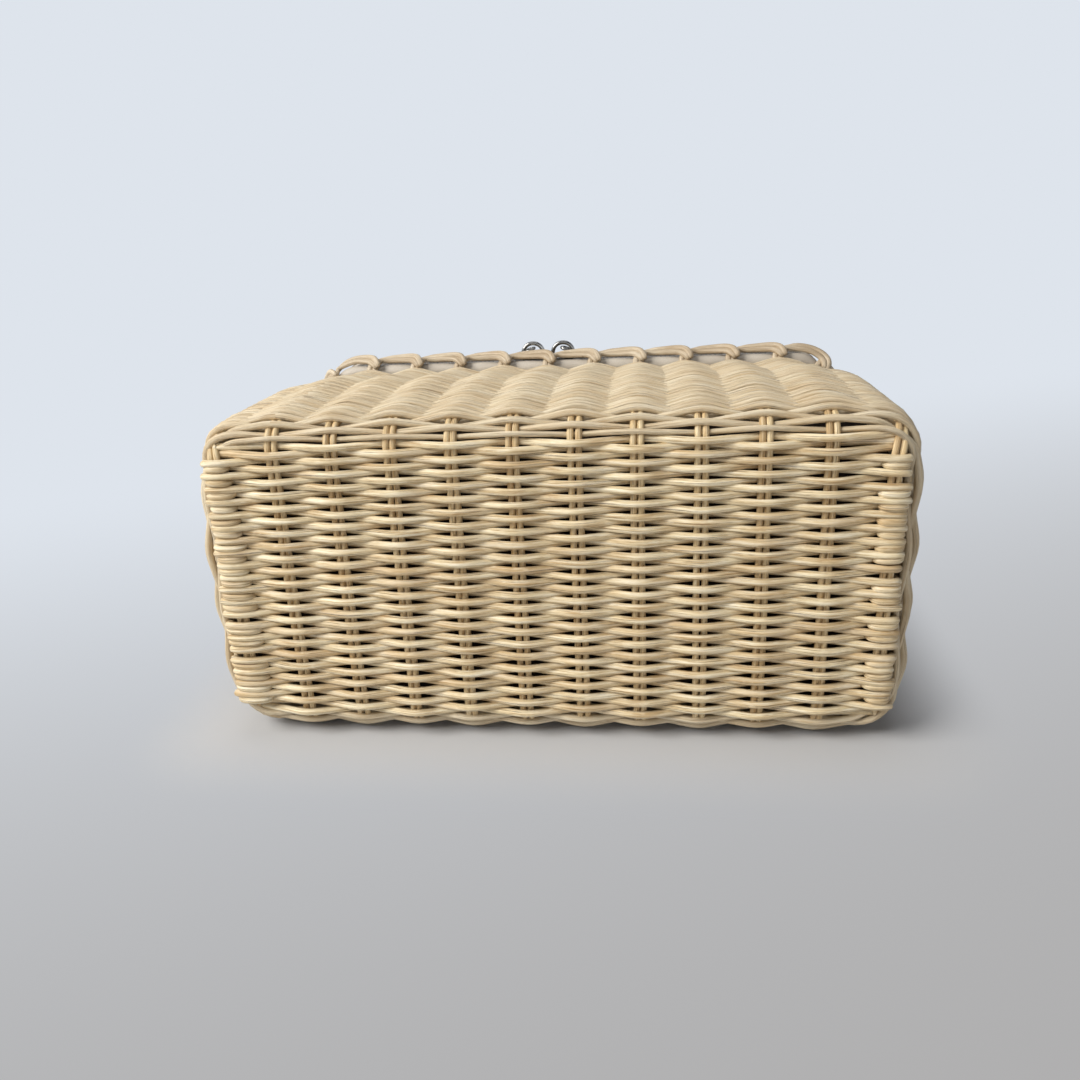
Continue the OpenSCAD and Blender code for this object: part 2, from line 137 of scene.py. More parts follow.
def wander(rows, s, span, waves, size):
    # slow drift of a hand-laid cane: a few sines along s with their own phase and gain for each row
    phase = rng.uniform(0, 2 * pi, (rows, len(waves), 1))
    gain = rng.normal(0, 1, (rows, len(waves), 1))
    turn = 2 * pi * np.asarray(waves)[None, :, None] * s[None, None, :] / span
    return size * (gain * np.sin(turn + phase)).sum(1) / math.sqrt(len(waves))


def curveThrough(knots, t):
    # Catmull-Rom curve through rows of knots, t in knot steps
    k = np.concatenate([2 * knots[:1] - knots[1:2], knots, 2 * knots[-1:] - knots[-2:-1]])
    i = np.clip(np.floor(t).astype(int), 0, len(knots) - 2)
    f = (t - i)[:, None]
    a, b, c, d = k[i], k[i + 1], k[i + 2], k[i + 3]
    bend = a - 2.5 * b + 2 * c - d / 2
    return b + f * (c - a) / 2 + f * f * bend + f ** 3 * (1.5 * (b - c) + (d - a) / 2)


def outward(verts, groups, uvs):
    # a closed shell whose signed volume is below nothing is inside out, so its faces are turned
    fans = np.concatenate([g[:, [0, i, i + 1]] for g in groups for i in range(1, g.shape[1] - 1)])
    a, b, c = verts[fans[:, 0]], verts[fans[:, 1]], verts[fans[:, 2]]
    if np.einsum("ij,ij->i", a, np.cross(b, c)).sum() < 0:
        return [g[:, ::-1] for g in groups], [u[:, ::-1] for u in uvs]
    return groups, uvs


def piece(name, shell, material, body, tone=None, slot=None, replaces=()):
    # a shell is its points, its face arrays, one for each number of corners, and their places on the UV map
    verts, groups, uvs = shell
    verts = lay(np.asarray(verts, float))
    groups, uvs = outward(verts, groups, uvs)
    mesh = bpy.data.meshes.new(name)
    mesh.vertices.add(len(verts))
    mesh.vertices.foreach_set("co", verts.astype(np.float32).ravel())
    sizes = np.concatenate([np.full(len(g), g.shape[1]) for g in groups])
    mesh.loops.add(int(sizes.sum()))
    mesh.polygons.add(len(sizes))
    mesh.polygons.foreach_set("loop_start", np.concatenate([[0], np.cumsum(sizes)[:-1]]).astype(np.int32))
    mesh.polygons.foreach_set("vertices", np.concatenate([g.ravel() for g in groups]).astype(np.int32))
    mesh.polygons.foreach_set("use_smooth", np.ones(len(sizes), bool))
    mesh.update(calc_edges=True)
    layer = mesh.uv_layers.new(name="along")
    layer.data.foreach_set("uv", np.concatenate([u.reshape(-1, 2) for u in uvs]).astype(np.float32).ravel())
    if tone is not None:
        shade = mesh.attributes.new("tone", "FLOAT", "POINT")
        shade.data.foreach_set("value", np.asarray(tone, np.float32).ravel())
    mesh.validate()
    obj = bpy.data.objects.new(name, mesh)
    bpy.context.scene.collection.objects.link(obj)
    mesh.materials.append(material)
    if body:
        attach(obj, body)
    if replaces:
        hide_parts(*replaces)
    return obj


def loft(rings, closed=False):
    # rings (strands, stations, corners, 3) joined into tubes; open ends get a flat cap
    n, m, k = rings.shape[:3]
    ids = np.arange(n * m * k).reshape(n, m, k)
    here = ids if closed else ids[:, :-1]
    there = np.roll(ids, -1, 1) if closed else ids[:, 1:]
    quads = np.stack([here, there, np.roll(there, -1, 2), np.roll(here, -1, 2)], -1).reshape(-1, 4)
    mid = rings.mean(2)
    gone = np.linalg.norm(np.diff(mid, axis=1), axis=-1).cumsum(1) / 10
    gone = np.concatenate([np.zeros((n, 1)), gone], 1)
    if closed:
        last = np.linalg.norm(mid[:, 0] - mid[:, -1], axis=-1)[:, None] / 10
        gone = np.concatenate([gone, gone[:, -1:] + last], 1)
    gone = gone + rng.uniform(0, 400, (n, 1))
    u0 = np.repeat(gone[:, :-1, None], k, 2)
    u1 = np.repeat(gone[:, 1:, None], k, 2)
    v0 = np.broadcast_to(np.arange(k) / k, u0.shape)
    v1 = v0 + 1 / k
    uv = np.stack([np.stack(corner, -1) for corner in ((u0, v0), (u1, v0), (u1, v1), (u0, v1))], -2)
    groups, uvs = [quads], [uv.reshape(-1, 4, 2)]
    if not closed:
        caps = np.concatenate([ids[:, 0], ids[:, -1, ::-1]])
        turn = 2 * pi * np.arange(k) / k
        disc = np.stack([np.cos(turn), np.sin(turn)], -1) * 0.05
        groups.append(caps)
        capAt = np.concatenate([gone[:, 0], gone[:, -1]])[:, None, None]
        uvs.append(np.broadcast_to(disc, (2 * n, k, 2)) + capAt)
    return rings.reshape(-1, 3), groups, uvs


def squared(wave, power):
    # a sine or cosine with its size raised to power: below 1 it turns an oval into a rounded box
    return np.sign(wave) * np.abs(wave) ** power


def section(paths, outs, wide, thick, sides, closed=False, power=1.0):
    # oval carried along each path: centre + across cos(a) wide + out sin(a) thick
    ahead = np.roll(paths, -1, 1) - np.roll(paths, 1, 1) if closed else np.gradient(paths, axis=1)
    t = unit(ahead)
    across = unit(np.cross(t, outs))
    up = np.cross(across, t)
    a = -pi / 2 + 2 * pi * np.arange(sides) / sides
    c = squared(np.cos(a), power)[None, None, :, None]
    d = squared(np.sin(a), power)[None, None, :, None]
    wide = np.broadcast_to(wide, paths.shape[:2])[:, :, None, None]
    thick = np.broadcast_to(thick, paths.shape[:2])[:, :, None, None]
    return paths[:, :, None] + across[:, :, None] * c * wide + up[:, :, None] * d * thick


def strands(name, paths, outs, wide, thick, sides, material, body,
            closed=False, tone=None, power=1.0, **more):
    # many ovals along their paths as one piece, each with a tone of its own
    rings = section(paths, outs, wide, thick, sides, closed, power)
    shell = loft(rings, closed)
    tone = rng.uniform(0, 1, len(paths)) if tone is None else tone
    shade = np.broadcast_to(np.asarray(tone)[:, None, None], rings.shape[:3])
    return piece(name, shell, material, body, shade, **more)


def joined(parts):
    # several lofts as one set of faces
    verts, groups, uvs, base = [], {}, {}, 0
    for v, gs, us in parts:
        gs, us = outward(v, gs, us)
        verts.append(v)
        for g, u in zip(gs, us):
            groups.setdefault(g.shape[1], []).append(g + base)
            uvs.setdefault(g.shape[1], []).append(u)
        base += len(v)
    faces = [np.concatenate(groups[k]) for k in groups]
    return np.concatenate(verts), faces, [np.concatenate(uvs[k]) for k in groups]


# Finishes: colours are written from 0 to 255 and turned into linear light
def colour(r, g, b):
    c = np.array([r, g, b]) / 255
    c = np.where(c <= 0.04045, c / 12.92, ((c + 0.055) / 1.055) ** 2.4)
    return (*map(float, c), 1.0)


def newFinish(name, roughness=0.5, metallic=0.0):
    m = bpy.data.materials.new(name)
    m.use_nodes = True
    shader = m.node_tree.nodes["Principled BSDF"]
    shader.inputs["Roughness"].default_value = roughness
    shader.inputs["Metallic"].default_value = metallic
    return m, shader


def node(m, kind, inputs=(), **settings):
    n = m.node_tree.nodes.new("ShaderNode" + kind)
    for key, value in settings.items():
        setattr(n, key, value)
    for key, value in dict(inputs).items():
        if isinstance(value, bpy.types.NodeSocket):
            m.node_tree.links.new(value, n.inputs[key])
        else:
            n.inputs[key].default_value = value
    return n


def ramp(m, factor, stops):
    # a stop's colour may be one number, for a grey
    n = node(m, "ValToRGB", {"Fac": factor})
    band = n.color_ramp.elements
    while len(band) < len(stops):
        band.new(0.5)
    for e, (at, c) in zip(band, stops):
        e.position = at
        e.color = c if isinstance(c, tuple) else (c, c, c, 1.0)
    return n.outputs["Color"]


def blendColour(m, factor, a, b, how="MIX"):
    n = node(m, "Mix", data_type="RGBA", blend_type=how)
    for i, value in ((0, factor), (6, a), (7, b)):
        if isinstance(value, bpy.types.NodeSocket):
            m.node_tree.links.new(value, n.inputs[i])
        else:
            n.inputs[i].default_value = value
    return n.outputs[2]


def noise(m, place, scale, detail):
    return node(m, "TexNoise", {"Vector": place, "Scale": scale, "Detail": detail}).outputs["Fac"]


def stretched(m, source, scale, detail, rough=0.6, warp=0.0):
    # noise on coordinates that are stretched by scale
    moved = node(m, "Mapping", {"Vector": source, "Scale": scale}).outputs["Vector"]
    return node(m, "TexNoise", {"Vector": moved, "Scale": 1.0, "Detail": detail, "Roughness": rough,
                                "Distortion": warp}).outputs["Fac"]


def wire(m, shader, base=None, rough=None, height=None, depth=0.0002, strength=0.5):
    link = m.node_tree.links.new
    if base is not None:
        link(base, shader.inputs["Base Color"])
    if rough is not None:
        link(rough, shader.inputs["Roughness"])
    if height is not None:
        bump = node(m, "Bump", {"Height": height, "Distance": depth, "Strength": strength})
        link(bump.outputs["Normal"], shader.inputs["Normal"])


def caneFinish(name, dark, mid, light, stain, lines):
    # fibre streaks run along the cane, with dark hair lines between some of them,
    # pale scuffs, slow blotches and a tone for each cane
    m, shader = newFinish(name, 0.46)
    uv = node(m, "UVMap", uv_map="along").outputs["UV"]
    tone = node(m, "Attribute", attribute_name="tone").outputs["Fac"]
    streak = stretched(m, uv, (0.5, 8, 1), 6, 0.68)
    hair = stretched(m, uv, (0.3, 22, 1), 4, 0.72)
    scuff = stretched(m, uv, (1.3, 5, 1), 4, 0.6, 0.4)
    blotch = stretched(m, uv, (0.4, 0.7, 1), 3, 0.55, 0.3)
    body = ramp(m, streak, [(0.34, dark), (0.47, mid), (0.62, light)])
    body = blendColour(m, ramp(m, blotch, [(0.42, 0), (0.72, 0.6)]), body, stain)
    body = blendColour(m, ramp(m, tone, [(0.0, 0), (0.5, 0.05), (1.0, 0.42)]), body, stain)
    body = blendColour(m, ramp(m, scuff, [(0.56, 0), (0.72, 0.55)]), body, light)
    body = blendColour(m, ramp(m, hair, [(0.36, lines), (0.43, 0)]), body, colour(104, 74, 46))
    rough = ramp(m, streak, [(0.3, 0.6), (0.7, 0.38)])
    height = blendColour(m, 0.5, streak, ramp(m, hair, [(0.3, 0), (0.5, 1)]))
    wire(m, shader, body, rough, height, 0.0005, 0.6)
    return m


def leatherFinish(name, dark, light, grain=1100.0):
    # small rounded grain cells, a little darker in the creases between them and worn in soft patches
    m, shader = newFinish(name, 0.52)
    place = node(m, "TexCoord").outputs["Object"]
    cells = node(m, "TexVoronoi", {"Vector": place, "Scale": grain}, feature="DISTANCE_TO_EDGE")
    cells = cells.outputs["Distance"]
    patch = noise(m, place, 55.0, 4.0)
    fine = noise(m, place, 2600.0, 2.0)
    body = ramp(m, patch, [(0.35, dark), (0.65, light)])
    crease = ramp(m, cells, [(0.0, 0.45), (0.12, 0)])
    body = blendColour(m, crease, body, dark)
    rough = ramp(m, patch, [(0.35, 0.6), (0.68, 0.44)])
    height = blendColour(m, 0.25, ramp(m, cells, [(0.0, 0), (0.2, 1)]), fine)
    wire(m, shader, body, rough, height, 0.00012, 0.5)
    return m


def clothFinish(name, dark, light, pitch):
    # plain weave: two crossed sets of thread waves, with slubs
    m, shader = newFinish(name, 0.85)
    place = node(m, "TexCoord").outputs["Object"]
    waves = {"Vector": place, "Scale": pitch, "Distortion": 1.5, "Detail Scale": 3.0}
    warp, weft = (node(m, "TexWave", waves, bands_direction=way).outputs["Fac"] for way in ("X", "DIAGONAL"))
    slub = noise(m, place, 220.0, 5.0)
    thread = blendColour(m, 0.5, warp, weft)
    body = ramp(m, slub, [(0.3, dark), (0.7, light)])
    body = blendColour(m, ramp(m, thread, [(0.2, 0.5), (0.6, 0)]), body, dark)
    wire(m, shader, body, None, thread, 0.0002, 0.6)
    return m


def metalFinish(name, tint, dull):
    # plate tinted darker than bare nickel as a painted dark reflection, with faint rubbed marks and duller
    # patches
    m, shader = newFinish(name, 0.16, 1.0)
    place = node(m, "TexCoord").outputs["Object"]
    marks = stretched(m, place, (700, 2600, 900), 4, 0.7)
    patch = noise(m, place, 160.0, 3.0)
    body = ramp(m, patch, [(0.35, dull), (0.65, tint)])
    rough = ramp(m, marks, [(0.3, 0.12), (0.75, 0.3)])
    wire(m, shader, body, rough, marks, 0.00002, 0.15)
    return m


straw = caneFinish("strawCane", colour(170, 136, 92), colour(229, 209, 167),
                   colour(251, 240, 213), colour(190, 155, 106), 0.9)
wallCane = caneFinish("wallCane", colour(196, 170, 132), colour(215, 198, 166),
                      colour(228, 214, 187), colour(198, 172, 133), 0.65)
# the stakes' darker tones are lifted above the straw's: partly their own paler, pinker cane, partly painted
# light against the shade they sit in
stakeCane = caneFinish("stakeCane", colour(186, 152, 104), colour(222, 198, 152),
                       colour(242, 225, 188), colour(184, 148, 98), 0.8)
# the rim's canes are greyer and darker than the straw: partly their own duller cane, partly painted shade and
# a painted grey reflection of the pale room
rimCane = caneFinish("rimCane", colour(172, 151, 122), colour(198, 180, 152),
                     colour(216, 201, 176), colour(168, 144, 112), 0.3)
greige = leatherFinish("greigeLeather", colour(176, 166, 152), colour(200, 191, 177))
# lining colour: dark brown cloth, made darker still as painted shade seen through the weave's slots
liningClothAndShade = clothFinish("brownLiningAndShade", colour(38, 27, 20), colour(60, 45, 34), 900.0)
zipCloth = clothFinish("zipTape", colour(120, 112, 104), colour(150, 141, 131), 1500.0)
# the nickel is kept darker than bare metal: painted dark reflection of unlit surroundings
nickel = metalFinish("nickel", colour(168, 166, 162), colour(128, 126, 123))
thread = clothFinish("threadStitch", colour(150, 138, 124), colour(182, 170, 155), 2400.0)
print("finishes made")

# Stakes' places: lengths round the bag of the 32 pairs, and x of the bottom's 12 pairs
sideMid = flatX + cornerArc + flatY
half = np.concatenate([(np.arange(10) - 4.5) * frontPitch, [flatX + cornerArc / 2],
                       sideMid + (np.arange(4) - 1.5) * sidePitch, [2 * sideMid - flatX - cornerArc / 2]])
stakeS = np.concatenate([half, half + loopLen / 2])
spanS = np.diff(np.concatenate([stakeS, stakeS[:1] + loopLen]))
endX = 113.7
baseX = np.concatenate([[-endX], (np.arange(10) - 4.5) * frontPitch, [endX]])
flatten = -0.08


def swing(f):
    # from +1 on one stake to -1 on the next: a cosine straightened by its third harmonic
    return (np.cos(pi * f) - flatten * np.cos(3 * pi * f)) / (1 - flatten)


# Bottom: rows of cane over and under the stake pairs
bottom = {"rows": 44, "reachY": 50.9, "rise": 2.35, "perSpan": 10, "drift": 0.16, "sag": 0.1,
          "wide": 0.9, "thick": 0.97, "uneven": 0.075, "lean": 0.2, "grip": 1.3, "reach": 2.5,
          "loose": (-0.4, 1.2), "stray": 1.2}


def leftStray(s, y):
    # on the left end the loops stand out more toward the back, evenly with y
    return bottom["stray"] * (1 + y / bottom["reachY"])[:, None] if s < 0 else 0


def bottomRows():
    # each row swings between over and under from pair to pair, opposite to the next row, and drifts
    b = bottom
    r = np.arange(b["rows"])
    rowY = np.linspace(-b["reachY"], b["reachY"], b["rows"])
    over = np.where((r[:, None] + np.arange(12)[None]) % 2 == 0, 1.0, -1.0)
    edge = (r < 2) | (r > b["rows"] - 3)
    over[np.ix_(edge, [0, 11])] = -1
    f = np.arange(b["perSpan"]) / b["perSpan"]
    x = np.concatenate([(baseX[:-1, None] + np.diff(baseX)[:, None] * f).ravel(), [endX]])
    c = swing(f)
    lift = (over[:, :-1, None] * (1 + c) + over[:, 1:, None] * (1 - c)) / 2
    lift = np.concatenate([lift.reshape(len(r), -1), over[:, -1:]], 1)
    side = wander(len(r), x, 240.0, (1, 2.3, 4.1, 7.7), b["drift"])
    depth = wander(len(r), x, 240.0, (1.4, 3.1, 9.0), b["sag"])
    z = bag["stakeZ"] - b["rise"] * lift + depth
    mid = np.stack([np.broadcast_to(x, lift.shape), rowY[:, None] + side, z], -1)
    # at each end an over row turns round the end pair: x grows by a sine, height swings by a cosine
    a = np.linspace(0.25, 2.3, 7)
    ends = []
    for k, s in ((0, -1), (-1, 1)):
        on = over[:, k, None] > 0
        reach = b["reach"] + rng.uniform(*b["loose"], (len(r), 1)) + leftStray(s, rowY)
        bend = np.where(on, b["grip"] * np.tanh(a / 0.5) + reach * np.sin(a), 0.35 * a)
        down = np.where(on, b["rise"] * np.cos(a), -b["rise"])
        y = mid[:, k, 1, None] + np.where(on, 0.55 * (1 - np.cos(a)), 0)
        ends.append(np.stack([s * (endX + bend), y, bag["stakeZ"] - down], -1))
    return np.concatenate([ends[0][:, ::-1], mid, ends[1]], 1), rowY, edge, over


rowPath, rowY, edgeRow, rowOver = bottomRows()
rowOut = [0, bottom["lean"], -1.0]
rowWide = bottom["wide"] * bag["caneR"] * (1 + bottom["uneven"] * rng.normal(0, 1, (len(rowPath), 1)))
strands("bottom_weave", rowPath, rowOut, rowWide, bottom["thick"] * bag["caneR"], 8, straw, "basket",
        slot="cane", replaces=("woven_base",))

# Short wraps fill the ends between the turning rows
wraps = {"turn": 2.35, "leftOut": 0.2, "reach": 2.2, "loose": (-0.5, 0.9), "aside": 0.14, "skew": 0.22,
         "sink": 0.12, "wide": 0.97, "uneven": 0.11, "thick": 0.95}


def endWraps():
    # most of a turn round the end pair: x grows by a sine, height swings by a cosine
    w = wraps
    a = np.linspace(-w["turn"], w["turn"], 17)
    paths = []
    for k, s in ((0, -1), (-1, 1)):
        ys = rowY[(rowOver[:, k] < 0) & ~edgeRow & (rng.uniform(0, 1, len(rowY)) > w["leftOut"])]
        n = len(ys)
        reach = w["reach"] + rng.uniform(*w["loose"], (n, 1)) + leftStray(s, ys)
        x = s * (endX + bottom["grip"] * np.tanh(a / 0.5) + reach * np.sin(a))
        y = ys[:, None] + rng.normal(0, w["aside"], (n, 1)) + rng.normal(0, w["skew"], (n, 1)) * a / 2
        z = bag["stakeZ"] - bottom["rise"] * np.cos(a) + rng.normal(0, w["sink"], (n, 1))
        paths.append(np.stack([x, y, z], -1))
    path = np.concatenate(paths)
    centre = path.copy()
    centre[..., 0] = np.sign(path[..., 0]) * endX
    centre[..., 2] = bag["stakeZ"]
    return path, unit(path - centre)


wrapPath, wrapOut = endWraps()
wrapWide = bag["caneR"] * (wraps["wide"] + wraps["uneven"] * rng.normal(0, 1, (len(wrapPath), 1)))
strands("end_wraps", wrapPath, wrapOut, wrapWide, bag["caneR"] * wraps["thick"], 8, straw, "basket",
        tone=rng.uniform(0.3, 1, len(wrapPath)), slot="cane")
print("bottom woven")

# Wall: rings of cane in and out round the stake pairs, from the bottom's turn to the rim
wall = {"pitch": 2.47, "start": 4.39, "perSpan": 8, "rise": 2.5, "drift": 0.17, "waver": 0.08, "endLift": 2.8,
        "liftRows": 12, "calm": 0.6, "calmRows": 6, "rows": 54, "wide": 0.76, "uneven": 0.06, "thick": 0.92}


def wallRows():
    # each ring follows its length up from the bottom: first a quarter circle, then upright with the draw-in;
    # it swings out and in from pair to pair, opposite to the ring below
    w = wall
    f = np.arange(w["perSpan"]) / w["perSpan"]
    s = (stakeS[:, None] + spanS[:, None] * f).ravel()
    row = np.arange(w["rows"])
    sign = np.where((row[:, None, None] + np.arange(32)[None, :, None]) % 2 == 0, 1.0, -1.0)
    lift = (sign * swing(f)[None, None]).reshape(len(row), -1)
    _, n = onPath(s)
    end = n[:, 0] ** 2
    up = w["start"] + row[:, None] * w["pitch"]
    up = up + w["endLift"] * end[None] * np.clip(1 - row[:, None] / w["liftRows"], 0, 1)
    up = up + wander(len(row), s, loopLen, (2, 5, 9, 14), w["drift"])
    quarter = bag["turnR"] * pi / 2
    a = np.minimum(up / bag["turnR"], pi / 2)
    z = bag["stakeZ"] + bag["turnR"] * (1 - np.cos(a)) + np.maximum(0, up - quarter)
    out = -bag["turnR"] * (1 - np.sin(a)) - drawn(z)
    calm = w["calm"] + (1 - w["calm"]) * smooth(row / w["calmRows"])[:, None]
    push = w["rise"] * calm * lift + wander(len(row), s, loopLen, (3, 8, 13), w["waver"])
    p = around(s, out + push * np.sin(a), z - push * np.cos(a))
    outs = np.concatenate([n[None] * np.sin(a)[..., None], -np.cos(a)[..., None]], -1)
    return p, outs


ringPath, ringOut = wallRows()
ringWide = wall["wide"] * bag["caneR"] * (1 + wall["uneven"] * rng.normal(0, 1, (len(ringPath), 1)))
for i, name in enumerate(("wall_weave_a", "wall_weave_b")):
    strands(name, ringPath[i::2], ringOut[i::2], ringWide[i::2], wall["thick"] * bag["caneR"], 8,
            wallCane, "basket", closed=True, slot="cane", replaces=("woven_wall",) if i == 0 else ())
print("wall woven")

# Stake pairs: across the bottom and up both walls, up the ends, and along the ends into the four corners
stakes = {"apart": 1.22, "top": 135.8, "aside": 0.12, "sway": 0.14, "levelY": 43.0, "slant": 0.707,
          "sag": 0.6, "endLow": 7.0, "lean": 4.5, "leanFrom": 4.0, "leanOver": 12.0, "oval": 1.05}
pair = stakes["apart"] * np.array([-1, 1])


def stakeLine():
    # one side: up the wall, round the turn by a quarter circle, level under the bottom; then the other side
    z = np.linspace(stakes["top"], bag["stakeZ"] + bag["turnR"], 26)
    a = np.linspace(pi / 2, 0, 9)[1:]
    y = np.concatenate([-bag["halfY"] + drawn(z), -bag["halfY"] + bag["turnR"] * (1 - np.sin(a))])
    z = np.concatenate([z, bag["stakeZ"] + bag["turnR"] * (1 - np.cos(a))])
    oy = np.concatenate([-np.ones(26), -np.sin(a)])
    oz = np.concatenate([np.zeros(26), -np.cos(a)])
    return y, z, oy, oz


def stakePairs():
    # both walls and the level part between them in one line, shifted to each stake's x and swaying a little
    y, z, oy, oz = stakeLine()
    level = np.linspace(y[-1], -y[-1], 24)[1:-1]
    ys = np.concatenate([y, level, -y[::-1]])
    zs = np.concatenate([z, 0 * level + bag["stakeZ"], z[::-1]])
    oys = np.concatenate([oy, 0 * level, -oy[::-1]])
    ozs = np.concatenate([oz, 0 * level - 1, oz[::-1]])
    x = (baseX[1:-1, None] + pair).ravel() + rng.normal(0, stakes["aside"], 20)
    n, m = len(x), len(ys)
    sway = wander(n, np.arange(m) * 1.0, m, (1, 2, 3.5), stakes["sway"])
    path = np.stack([x[:, None] + sway, np.broadcast_to(ys, (n, m)), np.broadcast_to(zs, (n, m))], -1)
    outs = np.broadcast_to(np.stack([0 * ys, oys, ozs], -1), path.shape)
    return path, outs


def cornerPairs():
    # the end pair runs level at endX, then its arc leads out to the corner stake's place on the wall
    y0, slant = stakes["levelY"], stakes["slant"]
    a = np.linspace(pi / 2, 0, 10)
    turn = np.sin(a)
    z = np.linspace(stakes["top"], bag["stakeZ"] + bag["turnR"], 26)[:-1]
    cornerS = np.array([flatX + cornerArc / 2])
    (wx, wy), n = (v[0] for v in onPath(cornerS))
    back = drawn(z) + rounder(cornerS, z)
    side = unit(np.stack([1 - (1 - slant) * turn, slant * turn], -1))
    arcZ = bag["stakeZ"] - stakes["sag"] * np.cos(a) ** 2 + bag["turnR"] * (1 - np.cos(a))
    level = np.linspace(-y0, y0, 14)[1:-1]
    out = np.concatenate([np.repeat([[n[0], n[1], 0.0]], len(z), 0),
                          np.stack([n[0] * turn, n[1] * turn, -np.cos(a)], -1)])
    out = np.concatenate([out, np.repeat([[0, 0, -1.0]], len(level), 0), out[::-1] * [1, -1, 1]])
    paths, outs = [], []
    for s in (-1, 1):
        for off in pair:
            wallPart = np.stack([wx - n[0] * back + off * slant, wy - n[1] * back + off * slant, z], -1)
            arcX = endX + (wx - endX) * turn + off * side[:, 0]
            arcY = -y0 + (wy + y0) * turn + off * side[:, 1]
            front = np.concatenate([wallPart, np.stack([arcX, arcY, arcZ], -1)])
            flat = np.stack([0 * level + endX + off, level, 0 * level + bag["stakeZ"]], -1)
            paths.append(np.concatenate([front, flat, front[::-1] * [1, -1, 1]]) * [s, 1, 1])
            outs.append(out * [s, 1, 1])
    return np.array(paths), np.array(outs)


def sidePairs():
    # up the ends, leaning in by a smooth step near the bottom
    z = np.linspace(stakes["endLow"], stakes["top"], 28)
    s = np.concatenate([stakeS[11:15], stakeS[27:31]])
    s = (s[:, None] + pair).ravel()
    lean = stakes["lean"] * (1 - smooth((z - stakes["leanFrom"]) / stakes["leanOver"]))
    path = around(s[:, None], -drawn(z) - lean, z)
    return path, levelOut(s)[:, None]


stakeSets = {"cross_stakes": stakePairs(), "corner_stakes": cornerPairs(), "end_stakes": sidePairs()}
for name, (path, outs) in stakeSets.items():
    strands(name, path, outs, bag["stakeR"] * stakes["oval"], bag["stakeR"], 8,
            stakeCane, "basket", slot="cane")
print("stakes set")

# Border: each pair of stake ends climbs over the roll, runs before the next pair and hooks down
border = {"rollR": 3.0, "rollIn": 5.8, "rollZ": 139.6, "near": 4.15, "far": 6.3, "apart": 1.2, "wide": 1.4,
          "thick": 1.05, "tilt": 46.0, "puff": 0.35, "uneven": 0.06, "pinch": 0.45,
          "turn": (-105, -52, -4, 22, 15, -5, -34, -60), "along": (0, 0, 0.05, 0.18, 0.56, 0.9, 1.05, 1.12),
          "outer": (0.17, 0, 0, 0.75, 0.9, 1, 1, 0.8)}


def borderPairs():
    # curve through knots of angle round the roll, share of the way to the next pair, and distance from it
    b = border
    station = np.arange(36)
    knots = np.stack([np.radians(b["turn"]), b["along"], b["outer"]], -1)
    k = curveThrough(knots, np.linspace(0, len(knots) - 1, len(station)))
    a, run, far = k[:, 0], k[:, 1], k[:, 2]
    r = b["near"] + (b["far"] - b["near"]) * far
    jitter = rng.normal(0, b["uneven"], (32, 1))
    s = stakeS[:, None] + spanS[:, None] * (run[None] + 0.03 * jitter * run[None])
    path = around(s, r * np.cos(a) - b["rollIn"], (b["rollZ"] + r * np.sin(a))[None] + jitter)
    # the pair lies a little turned toward the bottom where it runs free
    face = a - np.radians(b["tilt"]) * smooth(run / 0.4)
    up = np.broadcast_to(np.sin(face)[None, :, None], (*s.shape, 1))
    outs = unit(np.concatenate([onPath(s)[1] * np.cos(face)[None, :, None], up], -1))
    across = unit(np.cross(unit(np.gradient(path, axis=1)), outs))
    pinch = (1 - b["pinch"] * smooth((station - 27) / 8))[None, :, None]
    apart = across * b["apart"] * pinch
    both = np.stack([path - apart, path + apart], 1).reshape(-1, len(station), 3)
    # the last stations close in a quarter of an oval
    close = np.sqrt(np.clip(1 - (np.clip(station - 32, 0, 3) / 3.2) ** 2, 0.1, 1))
    return both, np.repeat(outs, 2, 0), close[None]


borderPath, borderOut, borderEnd = borderPairs()
strands("rim_border_canes", borderPath, borderOut, border["wide"] * borderEnd, border["thick"] * borderEnd, 8,
        rimCane, "basket", tone=np.repeat(rng.uniform(0, 1, 32), 2),
        slot="rim_cane", replaces=("rim_border",))


def ringAt(inset, z, count):
    # a level line round the bag at one inset and height
    s = np.arange(count) * loopLen / count
    return around(s, -inset, z)[None], levelOut(s)[None], s


rollPath, rollOut, rollS = ringAt(border["rollIn"], border["rollZ"], 420)
# the roll swells by a half sine between two stake pairs, where no cane holds it
stakeRound = np.sort(np.mod(stakeS, loopLen))
nextStake = np.searchsorted(stakeRound, rollS)
fromStake = np.mod(rollS - stakeRound[nextStake - 1], loopLen)
rollSpan = np.mod(stakeRound[nextStake % len(stakeRound)] - stakeRound[nextStake - 1], loopLen)
rollShare = np.clip(fromStake / rollSpan * 1.3 - 0.15, 0, 1)
rollFat = (border["rollR"] + border["puff"] * np.sin(pi * rollShare) ** 0.7)[None]
strands("rim_roll_leather", rollPath, rollOut, rollFat, rollFat, 20, greige, "basket", closed=True,
        slot="leather", replaces=("rim_roll",))
print("rim laced")


# Strips round the rim: squared ovals between two heights that may change along the run
def bandStrip(name, s, inset, thick, low, high, corners, material, body, closed, **more):
    a = -pi / 2 + 2 * pi * np.arange(corners) / corners
    c, d = squared(np.cos(a), 0.35), squared(np.sin(a), 0.35)
    low, high = np.broadcast_to(low, s.shape), np.broadcast_to(high, s.shape)
    z = ((low + high) / 2)[:, None] + ((high - low) / 2)[:, None] * d[None]
    shell = loft(around(s[:, None], -inset + thick / 2 * c[None], z)[None], closed)
    return piece(name, shell, material, body, np.full(len(shell[0]), 0.4), **more)


